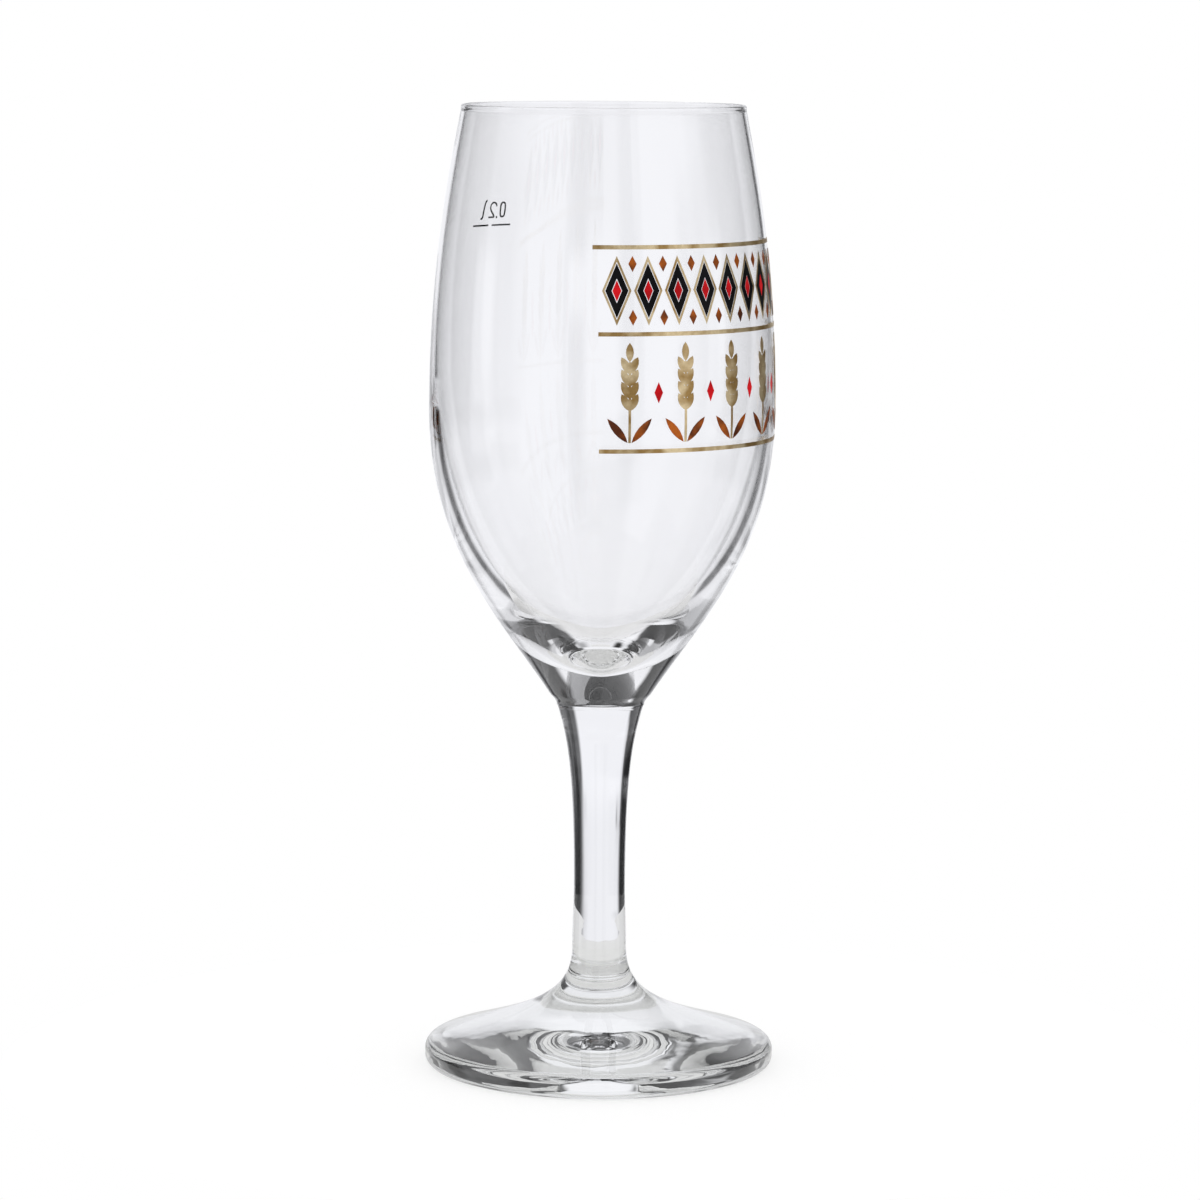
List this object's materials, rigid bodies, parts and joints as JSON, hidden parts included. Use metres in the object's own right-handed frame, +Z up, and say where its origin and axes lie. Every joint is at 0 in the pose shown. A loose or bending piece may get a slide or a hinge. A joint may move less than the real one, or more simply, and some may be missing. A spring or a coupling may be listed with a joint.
{
  "type": "stemmed pilsner glass",
  "caption": "Tall clear beer glass with a tapered bowl on a short solid stem and a thick round foot, with a geometric enamel band and a 0.2 litre line.",
  "frame": {"origin": "centre of the foot's rest ring, on the surface that the glass stands on", "axes": "+Z up along the axis of the glass, -Y the front that the picture shows, +X to the right of that front"},
  "size_m": [0.0686, 0.0686, 0.1885],
  "materials": {
    "bowl_glass": "clear, fire-polished",
    "stem_glass": "clear, fire-polished",
    "foot_glass": "clear, pressed and fire-polished",
    "gold_enamel": "fired gold, satin",
    "black_enamel": "fired enamel, gloss",
    "red_enamel": "fired enamel, gloss",
    "copper_enamel": "fired copper-brown, satin"
  },
  "bodies": {
    "root": {"bowl": "bowl_glass", "stem": "stem_glass", "foot": "foot_glass", "fill_line": "black_enamel", "print_gold": "gold_enamel", "print_black": "black_enamel", "print_red": "red_enamel", "print_copper": "copper_enamel"}
  },
  "joints": []
}
